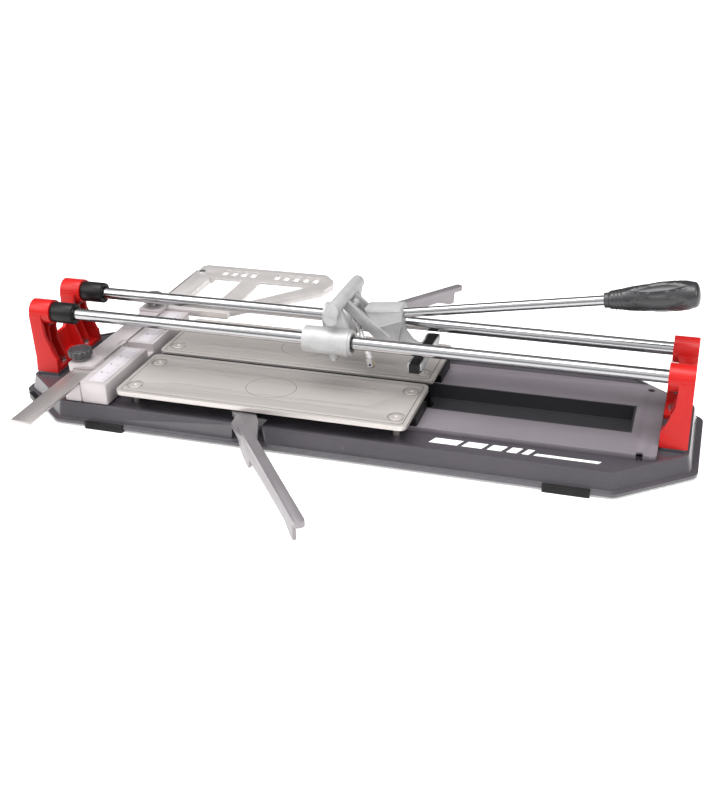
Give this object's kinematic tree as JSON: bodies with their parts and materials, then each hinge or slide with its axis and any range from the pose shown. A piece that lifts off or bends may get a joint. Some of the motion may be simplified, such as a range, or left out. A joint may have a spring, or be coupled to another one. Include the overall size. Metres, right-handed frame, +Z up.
{
  "type": "manual push tile cutter",
  "caption": "Manual tile cutter: charcoal base, red cast end stands, chrome guide rails, sliding lever carriage with scoring wheel and breaker foot, sprung tables and an angle square.",
  "frame": {"origin": "centre of the base on the bench, under the cutting line", "axes": "+X along the cut towards the lever's grip, +Y away from the user, +Z up"},
  "size_m": [0.888, 0.6792, 0.2141],
  "materials": {
    "base_grey": "semi-gloss charcoal powder coat",
    "trough_dark": "dark satin powder coat",
    "deck_grey": "satin mid grey powder coat",
    "rubber_black": "moulded rubber",
    "bright_steel": "zinc plated steel",
    "red_paint": "gloss red enamel",
    "chrome_rail": "ground and chromed",
    "dark_steel": "blackened steel",
    "table_metal": "brushed plated sheet",
    "fence_alloy": "satin cast aluminium",
    "scale_white": "printed strip",
    "arm_alloy": "grey satin cast aluminium",
    "square_steel": "satin steel flat bar",
    "square_alloy": "satin cast aluminium",
    "knob_plastic": "moulded black plastic",
    "grip_rubber": "soft moulded grip",
    "cast_alloy": "light satin cast aluminium",
    "bush_plastic": "acetal bushing",
    "carbide": "ground carbide"
  },
  "bodies": {
    "base": {"base_pan": "base_grey", "deck_plate": "deck_grey", "trough_liner": "trough_dark", "rubber_feet": "rubber_black", "bench_bolt_collars": "bright_steel", "left_end_stand": "red_paint", "right_end_stand": "red_paint", "stand_bolts": "bright_steel", "stand_washers": "bright_steel", "front_rail": "chrome_rail", "back_rail": "chrome_rail", "rail_bumpers": "rubber_black", "rail_lock_screws": "dark_steel", "front_table_screws": "table_metal", "back_table_screws": "table_metal", "front_table_pads": "rubber_black", "back_table_pads": "rubber_black", "breaking_rib": "dark_steel", "rib_screws": "bright_steel", "fence_body": "fence_alloy", "fence_holder": "fence_alloy", "fence_scales": "scale_white", "fence_bolts": "bright_steel", "front_knob_stud": "bright_steel", "back_knob_stud": "bright_steel", "arm_pivot_bolts": "bright_steel", "arm_washers": "bright_steel"},
    "front_table": {"front_table": "table_metal"},
    "back_table": {"back_table": "table_metal"},
    "square": {"ruler_bar": "square_steel", "angle_square": "square_alloy", "square_screws": "bright_steel"},
    "front_knob": {"front_knob": "knob_plastic"},
    "back_knob": {"back_knob": "knob_plastic"},
    "front_arm": {"front_support_arm": "arm_alloy"},
    "back_arm": {"back_support_arm": "arm_alloy"},
    "carriage": {"carriage_body": "cast_alloy", "rail_bushings": "bush_plastic", "rail_wipers": "knob_plastic", "carriage_screws": "bright_steel", "pivot_pin": "bright_steel", "pivot_caps": "cast_alloy"},
    "lever": {"lever_head": "cast_alloy", "hub_spacers": "bright_steel", "lever_rod": "chrome_rail", "rod_lock_screws": "dark_steel", "grip_collar": "knob_plastic", "lever_grip": "grip_rubber", "wheel_shaft": "bright_steel", "shaft_clamp_screw": "bright_steel", "wheel_axle": "dark_steel", "breaker_foot": "cast_alloy", "breaker_shoe": "rubber_black", "foot_screws": "bright_steel"},
    "wheel": {"scoring_wheel": "carbide"}
  },
  "joints": [
    {"name": "carriage_slide", "type": "slide", "parent": "base", "child": "carriage", "axis": [1, 0, 0], "range_m": [-0.326, 0.281]},
    {"name": "lever_tilt", "type": "hinge", "parent": "carriage", "child": "lever", "pos_m": [0.0015, 0, 0.1585], "axis": [0, -1, 0], "range_deg": [-17, 2.5]},
    {"name": "wheel_spin", "type": "hinge", "parent": "lever", "child": "wheel", "pos_m": [0.0322, 0, 0.068], "axis": [0, 1, 0], "continuous": true},
    {"name": "front_table_press", "type": "slide", "parent": "base", "child": "front_table", "axis": [0, 0, -1], "range_m": [0, 0.003], "stiffness_N_per_m": 9000, "springref_m": -0.004, "deforming": ["front_table_pads"]},
    {"name": "back_table_press", "type": "slide", "parent": "base", "child": "back_table", "axis": [0, 0, -1], "range_m": [0, 0.003], "stiffness_N_per_m": 9000, "springref_m": -0.004, "deforming": ["back_table_pads"]},
    {"name": "square_slide", "type": "slide", "parent": "base", "child": "square", "axis": [0, 1, 0], "range_m": [0, 0.1]},
    {"name": "front_knob_turn", "type": "hinge", "parent": "base", "child": "front_knob", "pos_m": [-0.3515, -0.066, 0.07], "axis": [0, 0, 1], "continuous": true},
    {"name": "back_knob_turn", "type": "hinge", "parent": "base", "child": "back_knob", "pos_m": [-0.342, 0.121, 0.07], "axis": [0, 0, 1], "continuous": true},
    {"name": "front_arm_swing", "type": "hinge", "parent": "base", "child": "front_arm", "pos_m": [-0.1016, -0.1088, 0.034], "axis": [0, 0, 1], "range_deg": [-25, 10]},
    {"name": "back_arm_swing", "type": "hinge", "parent": "base", "child": "back_arm", "pos_m": [-0.1016, 0.1088, 0.034], "axis": [0, 0, -1], "range_deg": [-25, 10]}
  ]
}
